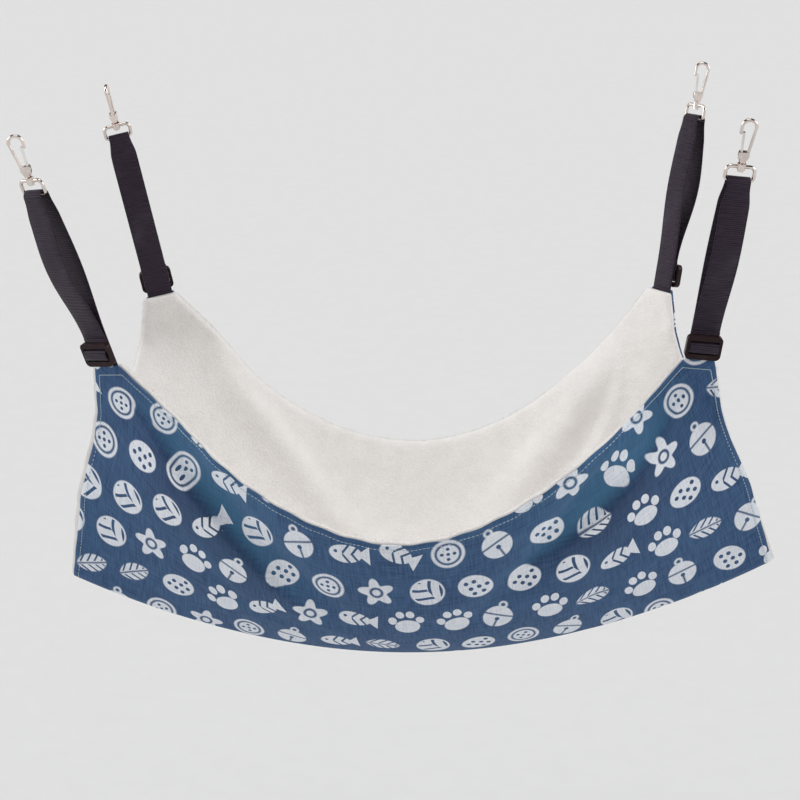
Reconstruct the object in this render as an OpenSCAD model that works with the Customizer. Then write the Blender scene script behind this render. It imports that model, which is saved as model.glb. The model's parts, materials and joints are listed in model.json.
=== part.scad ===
// Cat hammock: a printed cloth lined with plush, hung by its four cut corners.
// Each corner carries a webbing strap with a slider, a swivel eye and a snap hook.
// The origin is the middle of the four hook seats, +Z up, the long side along X, the front at -Y.

/* [Cloth] */
// Cut width of the cloth, along the long side
sheet_w = 620; // [500:5:740]
// Cut length of the cloth, from the front edge to the back edge
sheet_l = 530; // [430:5:620]
// Length of the cut across each corner, where a strap is sewn in
corner_cut = 32; // [28:1:42]
// Thickness of the printed outer fabric
outer_t = 1.2; // [0.8:0.1:2]
// Thickness of the plush lining
plush_t = 5; // [3:0.5:8]
// Slack between the two fabrics
layer_gap = 0.3; // [0.2:0.05:0.5]

/* [Hang] */
// How far the middle of the front edge hangs below its ends
front_dip = 158; // [110:2:180]
// How far the middle of the back edge hangs below its ends
back_dip = 183; // [130:2:190]
// How far the middle of the belly hangs below its ends
belly_dip = 71; // [40:1:90]
// Radius of the bend along the bottom
bottom_r = 24; // [15:1:40]
// Slope of the two legs of each open end
leg_angle = 68; // [60:0.5:74]
// Outward lean of the hanging front edge
front_splay = 28; // [10:1:36]
// Outward lean of the hanging back edge
back_splay = 14; // [6:1:30]
// How far the belly lies to the right of the corners' middle
belly_shift = 9; // [0:1:25]
// How much lower than its middle the left end of the belly hangs
belly_drop = 5; // [0:1:15]
// Outward swell of the walls
wall_swell = 14; // [0:1:22]
// Depth of the tension fold that runs in from each corner
fold_depth = 9; // [0:0.5:12]
// Half width of a tension fold
fold_w = 26; // [20:1:40]

/* [Straps] */
// Width of the webbing
web_w = 22; // [18:0.5:25]
// Thickness of the webbing
web_t = 1.1; // [0.8:0.05:1.5]
// Width that the webbing is squeezed to where it turns over the eye
turn_w = 17.5; // [14:0.5:18]
// Length over which the webbing narrows towards the eye
taper_len = 18; // [15:1:40]
// Length of webbing sewn in between the fabrics
tab_len = 16; // [10:1:17]
// Distance from a corner to the bar of its swivel eye, at the shortest setting
strap_len = 150; // [110:1:220]
// Inside radius of the webbing's turn round the eye
bight_r = 4; // [3.2:0.1:6]
// How far the returning webbing bows out
return_bow = 7; // [0:0.5:8]
// Room left between webbing and what it passes
web_fit = 0.1; // [0.05:0.05:0.2]

/* [Slider] */
// Width of the slider
slider_w = 28; // [27:0.5:34]
// Height of the slider
slider_h = 20; // [18:0.5:26]
// Thickness of the slider's frame
slider_t = 4.2; // [3.6:0.1:5]
// Radius of the slider's outer corners
slider_round = 4; // [2:0.1:5]
// Height of the slider's top and bottom bars
slider_bar = 4.4; // [2.6:0.1:4.6]
// Height of the slider's centre bar
slider_mid = 3.2; // [2.4:0.1:4]
// Thickness of the slider's centre bar
slider_mid_t = 1.6; // [1.2:0.1:2.2]
// Room between the corner of the cloth and the slider at rest
slider_gap = 2.5; // [2:0.1:8]

/* [Hook] */
// Wire diameter of the swivel eye
eye_d = 2.8; // [2:0.1:4]
// Height of the swivel eye, between the middles of its bars
eye_h = 10.5; // [9.5:0.5:14]
// Diameter of the boss that the hook turns in
boss_d = 6.6; // [5.6:0.1:8]
// Height of the boss
boss_h = 4.6; // [3.5:0.1:6]
// Diameter of the hook's swivel shank
shank_d = 3; // [2.2:0.1:3.6]
// Radial play of the swivel shank and of the gate pin
pin_play = 0.05; // [0.02:0.01:0.08]
// Diameter of the largest rod that the hook's seat takes
seat_d = 8; // [6.5:0.1:10]
// Thickness of the hook's wire
hook_d = 2.8; // [2.2:0.1:3.6]
// Height of the seat's middle above the foot of the hook
seat_h = 28; // [24:0.5:36]
// Thickness of the hook's foot
foot_t = 5.8; // [5.6:0.1:8]
// Width of the hook's foot
foot_w = 8; // [7.8:0.1:11]
// Height of the hook's foot
foot_h = 9; // [8:0.1:11]
// Diameter of the gate pin
gate_pin_d = 1.8; // [1.2:0.1:2.2]
// Thickness of the gate
gate_t = 1.6; // [0.8:0.1:1.8]
// Width of the gate
gate_w = 3.2; // [2.4:0.1:3.6]

/* [Hidden] */
$fn = 48;
overrun = 1;

// Corners in the order front left, front right, back left, back right
corner_names = ["front_left", "front_right", "back_left", "back_right"];
// Lean of each strap to the right and to the back, in degrees from straight up
lean_right = [-15, 8.4, -8.4, 9.1];
lean_back = [-7.9, -8.8, -12.2, 8.2];
// Turn of each strap's outer face from the front or back towards its side, in degrees
face_turn = [31, 6, 12, 54];
// Turn of each hook in its swivel, in degrees
hook_turn = [212, -6, 78, 234];
corner_parts = ["corner_tab", "strap_run", "strap_return", "strap_bight", "slider",
                "swivel_eye", "snap_hook", "hook_gate", "gate_pin", "gate_spring"];

// Shares that shape the hang
front_take_up_share = 0.0535;
back_take_up_share = 0.023;
front_round_share = 0.34;
back_round_share = 0.46;
corner_gather_share = 0.74;
corner_fan_shares = [0.57, 0.44, 0.44, 0.58];
corner_drift_shares = [0.18, 0.115, 0.14, 0.18];
fold_reach_share = 0.65;
fold_power = 2.2;
fold_shares = [1, 0.8, 0.9, 1];
fold_start_share = 0.2;
fold_end_share = 0.6;
seam_share = 0.55;
wall_tilt = 37;

// Cloth grid
columns = 27;
rows = 23;
half_w = sheet_w / 2;
half_l = sheet_l / 2;
cut_leg = corner_cut / sqrt(2);
slope_step = cut_leg / 4;
grid_step = max((sheet_w - 2 * cut_leg) / (columns - 3), (sheet_l - 2 * cut_leg) / (rows - 3));
patch_flat = (cut_leg + grid_step) / sqrt(2);
patch_fade = 2.8 * cut_leg;
bend_len = bottom_r * leg_angle * PI / 180;
end_drop = end_rise(half_l);

// Places along a strap, measured up from its corner in the strap's own frame
fold_z = web_t / 2 + web_fit / 2;
slider_z = slider_gap + slider_h / 2;
bight_mid = bight_r + web_t / 2;
eye_z = strap_len;
bight_z = eye_z - (bight_r - eye_d / 2 - web_fit);
eye_y = -bight_mid;
eye_low_r = 2;
eye_high_r = 4;
eye_in_w = turn_w + 2 * web_fit + 2 * eye_low_r - eye_d;
boss_z = eye_z + eye_h;
swivel_gap = 0.3;
foot_z = boss_z + boss_h / 2 + swivel_gap;
seat_z = foot_z + seat_h;
head_d = 4.8;
head_h = 1.2;

// Layers of webbing behind the slider, counted outwards from the run
tail_y = -(web_t + web_fit);
return_y = 2 * tail_y;
slider_back = return_y - web_t / 2 - web_fit;
slider_y = slider_back - slider_t / 2;
slider_side = (slider_w - web_w) / 2 - 4 * web_fit;
wrap_r = slider_mid_t / 2 + web_fit + web_t / 2;
tail_len = 14;

// Shares of the hook's foot: radius of its neck, radius and height of its shoulder
neck_share = 0.3;
shoulder_share = 0.57;
shoulder_z_share = 0.6;

// Places in the hook, from the middle of its foot
seat_flat = 0.2;
bend_r = seat_d / 2 + hook_d / 2 - seat_flat;
stem_d = hook_d - 2.5 * seat_flat;
knee_z = seat_h - seat_d / 2;
pin_x = -foot_w / 4 + gate_pin_d / 20;
pin_z = 0.62 * foot_h;
knuckle_d = 2.1 * gate_pin_d;
knuckle_w = 1.7;
spring_w = 1.4;
fork_play = 0.2;
fork_w = knuckle_w + spring_w + 3 * fork_play;
tip_z = knee_z - stem_d / 2;
gate_top = knee_z - fork_play;
gate_lean = atan2(bend_r - stem_d / 2 - gate_t / 2 - fork_play + pin_x, gate_top - pin_z);

// Small helpers
function mix(a, b, t) = a + (b - a) * t;
function smooth(t) = let (s = min(max(t, 0), 1)) s * s * (3 - 2 * s);
function arsinh(v) = ln(v + sqrt(v * v + 1));
function unit(v) = v / norm(v);

// The open end of the cloth: two straight legs and a round bottom
function end_y(s) =
    let (a = abs(s))
    sign(s) * (a < bend_len ? bottom_r * sin(a / bend_len * leg_angle)
                            : bottom_r * sin(leg_angle) + (a - bend_len) * cos(leg_angle));
function end_rise(s) =
    let (a = abs(s))
    a < bend_len ? bottom_r * (1 - cos(a / bend_len * leg_angle))
                 : bottom_r * (1 - cos(leg_angle)) + (a - bend_len) * sin(leg_angle);

// Depth of the tension fold at a point of the cut cloth
function fold_at(x, y, k) =
    let (p = max(half_w - abs(x), 0), q = half_l - abs(y), along = p / half_w)
    let (line = fold_reach_share * half_l * pow(along, fold_power))
    let (window = smooth(along / fold_start_share)
                  * (1 - smooth((along - fold_end_share) / (1 - fold_end_share))))
    fold_depth * fold_shares[k] * window * exp(-pow((q - line) / fold_w, 2));

function corner_of(x, y) = (x < 0 ? 0 : 1) + (y < 0 ? 0 : 2);

// The hung cloth without its corner patches: hanging rows between the two end sections
function hung(x, y) =
    let (way = y < 0 ? -1 : 1, b = abs(y) / half_l, share = end_rise(y) / end_drop)
    let (edge_dip = y < 0 ? front_dip : back_dip)
    let (take_up = (y < 0 ? front_take_up_share : back_take_up_share) * share)
    let (half_row = half_w * (1 - take_up))
    let (dip = sqrt(mix(belly_dip * belly_dip, edge_dip * edge_dip, share)))
    let (c = (half_row * half_row - dip * dip) / (2 * dip))
    let (t = x / half_w)
    let (round = mix(c / half_row, y < 0 ? front_round_share : back_round_share, b * b))
    let (hang = dip * (1 - (sqrt(t * t + round * round) - round) / (sqrt(1 + round * round) - round)))
    let (splay = (y < 0 ? front_splay : back_splay) * b)
    let (out = wall_swell * sin(180 * b) * (1 - t * t) - fold_at(x, y, corner_of(x, y)))
    [c * arsinh(t * half_row / c) + belly_shift * (1 - share),
     end_y(y) + way * (sin(splay) * hang + cos(wall_tilt) * out),
     end_rise(y) - end_drop - cos(splay) * hang - sin(wall_tilt) * out + belly_drop * t * (1 - share)];

// Corner frames: side and end of the cloth, place, up the strap, out of its face, across it
function side(k) = k % 2 == 0 ? -1 : 1;
function end(k) = k < 2 ? -1 : 1;
corner_at = [for (k = [0:3]) hung(side(k) * (half_w - cut_leg / 2), end(k) * (half_l - cut_leg / 2))];
strap_up = [for (k = [0:3]) unit([tan(lean_right[k]), tan(lean_back[k]), 1])];
face_flat = [for (k = [0:3]) [side(k) * sin(face_turn[k]), end(k) * cos(face_turn[k]), 0]];
strap_out = [for (k = [0:3]) unit(face_flat[k] - strap_up[k] * (face_flat[k] * strap_up[k]))];
strap_across = [for (k = [0:3]) cross(-strap_out[k], strap_up[k])];
seat_at = [for (k = [0:3]) corner_at[k] - strap_out[k] * eye_y + strap_up[k] * seat_z];
hang_centre = (seat_at[0] + seat_at[1] + seat_at[2] + seat_at[3]) / 4;

// Distance of a point of the cut cloth from its nearest corner cut
function from_cut(x, y) = (half_w - abs(x) + half_l - abs(y) - cut_leg) / sqrt(2);

// The hung cloth, with each corner laid flat against its strap
function cloth_point(x, y) =
    let (k = corner_of(x, y), d = from_cut(x, y))
    let (t = (half_w - abs(x) - half_l + abs(y)) / sqrt(2))
    let (hold = 1 - smooth((d - patch_flat) / patch_fade))
    let (half_cut = corner_cut / 2)
    let (fan = (half_cut * corner_gather_share + d * corner_fan_shares[k]) / (half_cut + d))
    let (flat = corner_at[k] - strap_up[k] * d
                + strap_across[k] * (side(k) * end(k) * (t * fan + d * corner_drift_shares[k])))
    mix(hung(x, y), flat, hold) - hang_centre;

// Unit normal of the cloth, towards the inside of the trough
function inward(x, y) =
    unit(cross(cloth_point(x + slope_step, y) - cloth_point(x - slope_step, y),
               cloth_point(x, y + slope_step) - cloth_point(x, y - slope_step)));

// Lines of the cloth's grid: one along each edge, one at the corner cuts, the rest even
function grid_line(i, n, half) =
    i == 0 ? -half : i == n - 1 ? half : mix(cut_leg - half, half - cut_leg, (i - 1) / (n - 3));
// Points outside a corner cut move onto its middle
function on_cloth(x, y) =
    from_cut(x, y) < 0 ? [sign(x) * (half_w - cut_leg / 2), sign(y) * (half_l - cut_leg / 2)] : [x, y];
flat_points = [for (j = [0:rows - 1]) for (i = [0:columns - 1])
               on_cloth(grid_line(i, columns, half_w), grid_line(j, rows, half_l))];
mid_points = [for (f = flat_points) cloth_point(f[0], f[1])];
mid_normals = [for (f = flat_points) inward(f[0], f[1])];

// Half the space between the fabrics, wider where webbing lies between them
function half_space(f) =
    mix(web_t / 2 + web_fit, layer_gap / 2, smooth((from_cut(f[0], f[1]) - patch_flat) / patch_flat));
// The lining is pressed thin along its seams
function fullness(f) =
    mix(seam_share, 1, smooth(min(half_w - abs(f[0]), half_l - abs(f[1])) / cut_leg));

// A closed cloth layer between two lists of heights above the middle surface
module cloth(low, high) {
    count = rows * columns;
    points = concat([for (i = [0:count - 1]) mid_points[i] + mid_normals[i] * low[i]],
                    [for (i = [0:count - 1]) mid_points[i] + mid_normals[i] * high[i]]);
    cells = [for (j = [0:rows - 2]) for (i = [0:columns - 2])
             let (a = j * columns + i, b = a + 1, c = b + columns, d = a + columns)
             let (turned = (i < columns / 2 - 1) != (j < rows / 2 - 1))
             turned ? [[a, b, d], [b, c, d]] : [[a, b, c], [a, c, d]]];
    rim = concat([for (i = [0:columns - 2]) i],
                 [for (j = [0:rows - 2]) j * columns + columns - 1],
                 [for (i = [0:columns - 2]) count - 1 - i],
                 [for (j = [0:rows - 2]) (rows - 1 - j) * columns]);
    under = [for (cell = cells) for (f = cell) f];
    over = [for (f = under) [f[2] + count, f[1] + count, f[0] + count]];
    edge = [for (i = [0:len(rim) - 1])
            let (a = rim[i], b = rim[(i + 1) % len(rim)])
            for (f = [[b, a, a + count], [b, a + count, b + count]]) f];
    polyhedron(points, concat(under, over, edge));
}

module outer_panel() {
    color("steelblue")
    cloth([for (f = flat_points) -half_space(f) - outer_t], [for (f = flat_points) -half_space(f)]);
}

module plush_lining() {
    color("linen")
    cloth([for (f = flat_points) half_space(f)],
          [for (f = flat_points) half_space(f) + plush_t * fullness(f)]);
}

// A strap's own frame: X across the webbing, Y into the hammock, Z up the strap
module on_strap(k) {
    x = strap_across[k];
    y = -strap_out[k];
    z = strap_up[k];
    o = corner_at[k] - hang_centre;
    multmatrix([[x[0], y[0], z[0], o[0]], [x[1], y[1], z[1], o[1]], [x[2], y[2], z[2], o[2]], [0, 0, 0, 1]])
    children();
}

// A ribbon of webbing along a path of [y, z] points
module ribbon(path) {
    last = len(path) - 1;
    ways = [for (i = [0:last]) unit(path[min(i + 1, last)] - path[max(i - 1, 0)])];
    outline = concat([for (i = [0:last]) path[i] + [-ways[i][1], ways[i][0]] * web_t / 2],
                     [for (i = [last:-1:0]) path[i] - [-ways[i][1], ways[i][0]] * web_t / 2]);
    translate([-web_w / 2, 0, 0])
    rotate([90, 0, 90])
    linear_extrude(web_w)
    polygon(outline);
}

// Flat outline of the webbing from a height up to the eye, as a slab of the depth given
module narrowing(low, front, depth) {
    translate([0, front + depth, 0])
    rotate([90, 0, 0])
    linear_extrude(depth)
    polygon([[-web_w / 2, low], [web_w / 2, low], [web_w / 2, bight_z - taper_len],
             [turn_w / 2, bight_z], [-turn_w / 2, bight_z], [-web_w / 2, bight_z - taper_len]]);
}

// End of the webbing that is sewn in between the fabrics
module corner_tab() {
    color("black")
    translate([-web_w / 2, -web_t / 2, -tab_len])
    cube([web_w, web_t, tab_len]);
}

// Webbing from the corner straight up to the eye, with a round end on the line where it folds
module strap_run() {
    color("black") {
        narrowing(fold_z, -web_t / 2, web_t);
        translate([-web_w / 2, 0, fold_z])
        rotate([0, 90, 0])
        cylinder(d = web_t, h = web_w);
    }
}

// Webbing turned over the bar of the eye
module strap_bight() {
    color("black")
    translate([0, -bight_mid, bight_z])
    rotate([90, 0, 90])
    rotate_extrude(angle = 180)
    translate([bight_r, -turn_w / 2])
    square([web_t, turn_w]);
}

// Webbing from the eye back down, wrapped round the slider's centre bar, with its sewn tail
entry_z = slider_z + slider_h / 2 + 2 * web_t;
under_z = slider_z - slider_mid / 2 + slider_mid_t / 2;
bow_steps = 14;
wrap_steps = 8;
return_path = concat(
    [for (i = [0:bow_steps])
     let (t = i / bow_steps)
     [mix(-2 * bight_mid, return_y, smooth(t)) - return_bow * pow(sin(180 * t), 2),
      mix(bight_z - web_fit, entry_z, t)]],
    [[return_y, slider_z + slider_h / 2 - slider_bar - web_t],
     [slider_y - wrap_r, slider_z + slider_mid / 2]],
    [for (i = [0:wrap_steps])
     let (a = 180 * i / wrap_steps)
     [slider_y - wrap_r * cos(a), under_z - wrap_r * sin(a)]],
    [[slider_y + wrap_r, slider_z + slider_mid / 4],
     [tail_y, slider_z + slider_h / 2 - 1.5 * slider_bar],
     [tail_y, slider_z + tail_len]]);

module strap_return() {
    reach = 2 * bight_mid + return_bow + slider_t;
    color("black")
    intersection() {
        ribbon(return_path);
        narrowing(0, -reach, reach + web_t);
    }
}

// Slider with three bars and two slots
module slider() {
    slot_w = slider_w - 2 * slider_side;
    color("dimgray") {
        difference() {
            translate([0, slider_back, slider_z])
            rotate([90, 0, 0])
            linear_extrude(slider_t)
            rounded(slider_w, slider_h, slider_round);
            translate([0, slider_back + overrun, slider_z])
            rotate([90, 0, 0])
            linear_extrude(slider_t + 2 * overrun)
            rounded(slot_w, slider_h - 2 * slider_bar, web_fit * 4);
        }
        for (z = [-1, 1])
            translate([-slot_w / 2, slider_y, slider_z + z * (slider_mid - slider_mid_t) / 2])
            rotate([0, 90, 0])
            cylinder(d = slider_mid_t, h = slot_w);
        translate([-slot_w / 2, slider_y - slider_mid_t / 2, slider_z - (slider_mid - slider_mid_t) / 2])
        cube([slot_w, slider_mid_t, slider_mid - slider_mid_t]);
    }
}

// Rectangle with round corners, about its middle
module rounded(w, h, r) {
    union() {
        square([w - 2 * r, h], center = true);
        square([w, h - 2 * r], center = true);
        for (x = [-1, 1], y = [-1, 1])
            translate([x * (w / 2 - r), y * (h / 2 - r)])
            circle(r);
    }
}

// Wire between two points of the XZ plane
module wire(from, to, d) {
    way = to - from;
    translate([from[0], 0, from[1]])
    rotate([0, atan2(way[0], way[1]), 0])
    cylinder(d = d, h = norm(way));
}

// Quarter bend of wire in the XZ plane, from the angle given
module bend(at, r, d, start) {
    translate([at[0], 0, at[1]])
    rotate([90, -start, 0])
    rotate_extrude(angle = 90)
    translate([r, 0])
    circle(d = d);
}

// Swivel eye: a wire loop with a bored boss in its top bar
module swivel_eye() {
    half = eye_in_w / 2 + eye_d / 2;
    low = half - eye_low_r;
    high = half - eye_high_r;
    color("silver")
    translate([0, eye_y, eye_z])
    difference() {
        union() {
            wire([-low, 0], [low, 0], eye_d);
            wire([-high, eye_h], [high, eye_h], eye_d);
            for (x = [-1, 1])
                wire([x * half, eye_low_r], [x * half, eye_h - eye_high_r], eye_d);
            bend([low, eye_low_r], eye_low_r, eye_d, -90);
            bend([-low, eye_low_r], eye_low_r, eye_d, 180);
            bend([high, eye_h - eye_high_r], eye_high_r, eye_d, 0);
            bend([-high, eye_h - eye_high_r], eye_high_r, eye_d, 90);
            translate([0, 0, eye_h - boss_h / 2])
            cylinder(d = boss_d, h = boss_h);
        }
        translate([0, 0, eye_h - boss_h / 2 - overrun])
        cylinder(d = shank_d + 2 * pin_play, h = boss_h + 2 * overrun);
    }
}

// The hook's own frame: its swivel axis is Z, its foot stands on the XY plane
module on_hook(k) {
    translate([0, eye_y, foot_z])
    rotate([0, 0, hook_turn[k]])
    children();
}

// Section of the hook's bend: round, with a flat seat on its inner side
module seat_section() {
    intersection() {
        circle(d = hook_d);
        translate([seat_flat - hook_d / 2, -hook_d])
        square([hook_d, 2 * hook_d]);
    }
}

// Snap hook: headed shank, forked foot, stem, bend with the seat, and tip
module snap_hook() {
    foot_r = foot_w / 5;
    stem_x = foot_w / 2 - hook_d / 2;
    color("silver")
    difference() {
        union() {
            translate([0, 0, -swivel_gap - boss_h - swivel_gap - head_h])
            cylinder(d = head_d, h = head_h);
            translate([0, 0, -swivel_gap - boss_h - swivel_gap - head_h / 2])
            cylinder(d = shank_d, h = 2 * swivel_gap + boss_h + head_h);
            intersection() {
                rotate([90, 0, 0])
                translate([0, foot_h / 2, -foot_t / 2])
                linear_extrude(foot_t)
                rounded(foot_w, foot_h, foot_r);
                rotate_extrude()
                polygon([[0, 0], [foot_w * neck_share, 0],
                         [foot_w * shoulder_share, foot_h * shoulder_z_share],
                         [foot_w * shoulder_share, foot_h], [0, foot_h]]);
            }
            wire([stem_x, foot_h / 2], [bend_r, seat_h], stem_d);
            translate([0, 0, seat_h])
            rotate([90, 0, 0])
            rotate_extrude(angle = 180)
            translate([bend_r, 0])
            seat_section();
            wire([-bend_r, tip_z], [-bend_r, seat_h], stem_d);
            translate([-bend_r, 0, tip_z])
            sphere(d = stem_d);
        }
        translate([-foot_w / 2 - overrun, -fork_w / 2, pin_z - knuckle_d / 2 - fork_play])
        cube([foot_w / 2 + overrun + pin_x + knuckle_d / 2 + fork_play, fork_w, foot_h]);
        translate([pin_x, 0, pin_z])
        rotate([90, 0, 0])
        cylinder(d = gate_pin_d, h = foot_t + 2 * overrun, center = true);
    }
}

// Gate: a tongue on a bored knuckle, shut against the inside of the tip
module hook_gate() {
    knuckle_y = -fork_w / 2 + fork_play;
    reach = (gate_top - pin_z) / cos(gate_lean);
    color("gainsboro")
    translate([pin_x, 0, pin_z])
    difference() {
        union() {
            translate([0, knuckle_y + knuckle_w, 0])
            rotate([90, 0, 0])
            cylinder(d = knuckle_d, h = knuckle_w);
            rotate([0, -gate_lean, 0]) {
                translate([-gate_t / 2, knuckle_y, 0])
                cube([gate_t, knuckle_w, reach / 2]);
                translate([-gate_t / 2, -gate_w / 2, foot_h - pin_z])
                cube([gate_t, gate_w, reach - foot_h + pin_z]);
            }
        }
        rotate([90, 0, 0])
        cylinder(d = gate_pin_d + 2 * pin_play, h = foot_t, center = true);
    }
}

// Rivet that the gate turns on
module gate_pin() {
    color("silver")
    translate([pin_x, 0, pin_z])
    rotate([90, 0, 0])
    cylinder(d = gate_pin_d, h = foot_t, center = true);
}

// Coil round the rivet, beside the knuckle, that shuts the gate
module gate_spring() {
    color("gray")
    translate([pin_x, fork_w / 2 - fork_play, pin_z])
    rotate([90, 0, 0])
    difference() {
        cylinder(d = knuckle_d - fork_play, h = spring_w);
        translate([0, 0, -overrun])
        cylinder(d = gate_pin_d + 2 * pin_play, h = spring_w + 2 * overrun);
    }
}

outer_panel();
plush_lining();
for (k = [0:3]) {
    c = corner_names[k];
    on_strap(k) corner_tab();
    on_strap(k) strap_run();
    on_strap(k) strap_return();
    on_strap(k) strap_bight();
    on_strap(k) slider();
    on_strap(k) swivel_eye();
    on_strap(k) on_hook(k) snap_hook();
    on_strap(k) on_hook(k) hook_gate();
    on_strap(k) on_hook(k) gate_pin();
    on_strap(k) on_hook(k) gate_spring();
}
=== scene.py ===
# %% [markdown]
# # Dressing a cat hammock
# The hammock is a cloth of two layers, printed cotton outside and plush inside.
# It hangs by its four cut-off corners from webbing straps with sliders and swivel snap hooks.
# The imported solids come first: they fix every place and every joint, and the looks are built around them.

import json
import math

import bmesh
import bpy
import numpy as np
from mathutils import Matrix, Vector


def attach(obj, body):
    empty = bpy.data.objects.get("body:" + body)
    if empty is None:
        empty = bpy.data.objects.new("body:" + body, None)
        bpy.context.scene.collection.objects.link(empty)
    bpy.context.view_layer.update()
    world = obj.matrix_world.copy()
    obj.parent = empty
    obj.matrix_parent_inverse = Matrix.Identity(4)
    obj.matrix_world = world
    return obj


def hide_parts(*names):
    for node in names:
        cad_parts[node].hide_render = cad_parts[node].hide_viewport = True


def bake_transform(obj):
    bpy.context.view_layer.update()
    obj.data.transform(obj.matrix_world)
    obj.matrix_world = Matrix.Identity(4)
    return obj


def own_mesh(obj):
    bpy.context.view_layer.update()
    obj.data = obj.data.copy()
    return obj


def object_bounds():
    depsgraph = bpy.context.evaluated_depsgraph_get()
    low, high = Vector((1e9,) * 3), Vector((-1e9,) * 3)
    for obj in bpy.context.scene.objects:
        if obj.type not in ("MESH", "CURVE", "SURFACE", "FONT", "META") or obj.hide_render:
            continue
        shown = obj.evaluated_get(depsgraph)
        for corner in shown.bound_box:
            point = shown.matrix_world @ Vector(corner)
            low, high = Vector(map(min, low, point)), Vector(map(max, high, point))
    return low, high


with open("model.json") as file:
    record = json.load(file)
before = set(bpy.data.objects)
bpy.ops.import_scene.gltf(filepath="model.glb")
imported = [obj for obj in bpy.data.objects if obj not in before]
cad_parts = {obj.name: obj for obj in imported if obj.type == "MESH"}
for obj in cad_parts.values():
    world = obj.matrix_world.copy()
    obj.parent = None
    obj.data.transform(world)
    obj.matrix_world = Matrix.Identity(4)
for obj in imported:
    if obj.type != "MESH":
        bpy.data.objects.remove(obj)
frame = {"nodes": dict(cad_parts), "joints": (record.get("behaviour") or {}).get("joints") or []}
cad_box = [list(corner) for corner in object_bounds()]
joints = {joint["name"]: joint for joint in frame["joints"]}

# %% [markdown]
# ## The four straps' frames
# Each strap has its own frame: across the webbing, inwards to the trough, and up the strap.
# It could be typed in again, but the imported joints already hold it, so it is read from them.
# A strap folds about its across axis, and its slider moves along its up axis.

# %% Strap frames
MM = 0.001
CORNERS = ("front_left", "front_right", "back_left", "back_right")
SIDES = dict(zip(CORNERS, ((-1, -1), (1, -1), (-1, 1), (1, 1))))
WEB_W = 22 * MM
WEB_T = 1.1 * MM
WEB_FIT = 0.1 * MM
FOLD_Z = WEB_T / 2 + WEB_FIT / 2


class Strap:
    """The frame of one strap, read from its packed joints."""

    def __init__(self, corner):
        fold = joints[f"{corner}_strap_fold"]
        self.across = np.array(fold["axis"])
        self.up = np.array(joints[f"{corner}_slider_slide"]["axis"])
        self.inward = np.cross(self.up, self.across)
        self.origin = np.array(fold["pos_m"]) - self.up * FOLD_Z

    def at(self, x, y, z):
        """Points of the strap's frame, in the row frame."""
        x, y, z = (np.asarray(v, float)[..., None] for v in (x, y, z))
        return self.origin + self.across * x + self.inward * y + self.up * z


straps = {corner: Strap(corner) for corner in CORNERS}
for corner, strap in straps.items():
    print(corner, "corner at", strap.origin.round(4))

# %% [markdown]
# ## The cut cloth
# Both fabrics are cut alike: a rectangle whose four corners are cut off where the straps are sewn in.
# A cloth simulation would be the usual way to hang it, but its folds and edges would land by chance.
# The hang is written as a formula instead, the same one as in the solids.

# %% Cut cloth
SHEET_W, SHEET_L = 620 * MM, 530 * MM
HALF_W, HALF_L = SHEET_W / 2, SHEET_L / 2
CORNER_CUT = 32 * MM
CUT_LEG = CORNER_CUT / math.sqrt(2)


def mix(a, b, t):
    return a + (b - a) * t


def smooth(t):
    t = np.clip(t, 0, 1)
    return t * t * (3 - 2 * t)


def from_cut(x, y):
    """Distance on the cut cloth from its nearest cut corner."""
    return (HALF_W - np.abs(x) + HALF_L - np.abs(y) - CUT_LEG) / math.sqrt(2)


print("cut cloth", SHEET_W, "by", SHEET_L)

# %% [markdown]
# ## Open ends and tension folds
# Seen from an open end the cloth is a trough: two straight legs on a rounded bottom.
# From each corner the pull of the strap presses a shallow fold into the wall.
# Both could be sculpted, but as formulas they hold at every place of the cloth.

# %% Ends and folds
BOTTOM_R = 24 * MM
LEG_ANGLE = math.radians(68)
FOLD_DEPTH, FOLD_W = 9 * MM, 26 * MM
FOLD_SHARES = np.array([1, 0.8, 0.9, 1])
FOLD_REACH_SHARE, FOLD_START_SHARE, FOLD_END_SHARE = 0.65, 0.2, 0.6
FOLD_POWER = 2.2


def end_section(s):
    """Reach and rise of the open end at a length s from its bottom."""
    a = np.abs(s)
    bend = BOTTOM_R * LEG_ANGLE
    turn = np.minimum(a / BOTTOM_R, LEG_ANGLE)
    leg = np.maximum(a - bend, 0)
    reach = BOTTOM_R * np.sin(turn) + leg * math.cos(LEG_ANGLE)
    return np.sign(s) * reach, BOTTOM_R * (1 - np.cos(turn)) + leg * math.sin(LEG_ANGLE)


def fold_depth(x, y):
    """How deep the tension fold from the nearest corner is."""
    along = np.maximum(HALF_W - np.abs(x), 0) / HALF_W
    line = FOLD_REACH_SHARE * HALF_L * along**FOLD_POWER
    fade = 1 - smooth((along - FOLD_END_SHARE) / (1 - FOLD_END_SHARE))
    window = smooth(along / FOLD_START_SHARE) * fade
    share = FOLD_SHARES[(x >= 0).astype(int) + 2 * (y >= 0).astype(int)]
    return FOLD_DEPTH * share * window * np.exp(-(((HALF_L - np.abs(y) - line) / FOLD_W) ** 2))


END_DROP = end_section(HALF_L)[1]
print("drop of the open ends", round(float(END_DROP), 4))

# %% [markdown]
# ## Rows that hang as chains
# Between the open ends each row of the cloth sags like a chain, most along the front and back edges.
# A parabola would be simpler, but a chain is measured along its own length, as cloth is.
# Towards the edges the rows are rounder, splay outwards and swell.

# %% Hung cloth
FRONT_DIP, BACK_DIP, BELLY_DIP = 158 * MM, 183 * MM, 71 * MM
FRONT_SPLAY, BACK_SPLAY = math.radians(28), math.radians(14)
BELLY_SHIFT, BELLY_DROP = 9 * MM, 5 * MM
WALL_SWELL, WALL_TILT = 14 * MM, math.radians(37)
TAKE_UP_SHARES = (0.0535, 0.023)
ROUND_SHARES = (0.34, 0.46)


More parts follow.
